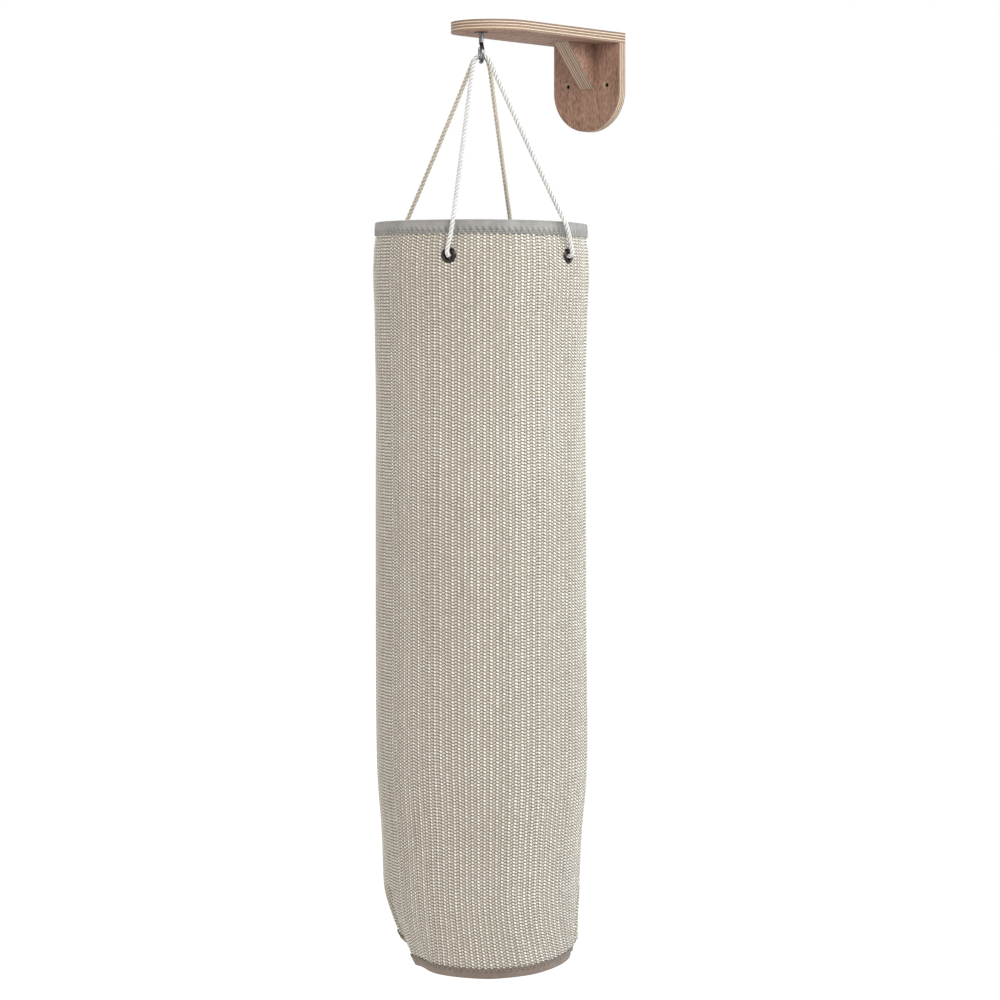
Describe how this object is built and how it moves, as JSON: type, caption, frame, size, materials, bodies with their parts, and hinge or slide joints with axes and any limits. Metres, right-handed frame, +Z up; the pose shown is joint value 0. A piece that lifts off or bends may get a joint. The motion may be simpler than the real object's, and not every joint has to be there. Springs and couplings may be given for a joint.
{
  "type": "punching bag",
  "caption": "Open-topped punch bag of woven matting that hangs on cords from a hook under a plywood wall bracket, with a tape-bound rim and a drawn-in hem.",
  "frame": {"origin": "wall face, midway between the two mounting holes", "axes": "+Z up, the wall is the plane y = 0 and the arm reaches out along -Y, +X to the right for someone who faces the wall"},
  "size_m": [0.2997, 0.3923, 1.2385],
  "materials": {
    "plywood": "hardwood-faced plywood, lightly oiled, bare layered edges",
    "gusset_plywood": "plywood cut on the diagonal, bare layered edge",
    "zinc_screws": "zinc plated",
    "hook_steel": "zinc plated wire",
    "dark_steel": "dark plated",
    "cord": "laid natural cotton cord",
    "gunmetal": "burnished gunmetal",
    "matting": "undyed coarse woven plant fibre, ribbed",
    "rim_tape": "pale grey woven tape",
    "rim_thread": "polyester thread",
    "hem_tape": "taupe woven tape",
    "hem_thread": "polyester thread",
    "seam_tape": "woven cotton tape",
    "seam_thread": "waxed thread",
    "base_canvas": "heavy cotton canvas",
    "liner_cotton": "unbleached cotton",
    "textile_filling": "shredded textile"
  },
  "bodies": {
    "bracket": {"wall_plate": "plywood", "bracket_arm": "plywood", "gusset_left": "gusset_plywood", "gusset_right": "gusset_plywood", "arm_screws": "zinc_screws", "gusset_screws": "zinc_screws", "hook": "hook_steel", "hook_lower_washer": "dark_steel", "hook_tee_nut": "hook_steel"},
    "cords": {"front_cord": "cord", "rear_cord": "cord"},
    "bag": {"cord_knots": "cord", "eyelets": "gunmetal", "eyelet_washers": "gunmetal", "matting_tube": "matting", "rim_tape": "rim_tape", "rim_stitching": "rim_thread", "hem_tape": "hem_tape", "hem_stitching": "hem_thread", "seam_tape": "seam_tape", "seam_stitching": "seam_thread", "pleat_tacks": "hem_thread", "base_panel": "base_canvas", "base_stitching": "hem_thread", "liner_sack": "liner_cotton", "liner_tie": "cord", "filling": "textile_filling"}
  },
  "joints": [
    {"name": "swing_out", "type": "hinge", "parent": "bracket", "child": "cords", "pos_m": [0, -0.25, 0.025], "axis": [1, 0, 0], "range_deg": [-35, 5]},
    {"name": "swing_side", "type": "hinge", "parent": "cords", "child": "bag", "pos_m": [0, -0.25, 0.025], "axis": [0, 1, 0], "range_deg": [-35, 35], "deforming": ["front_cord", "rear_cord"]}
  ]
}
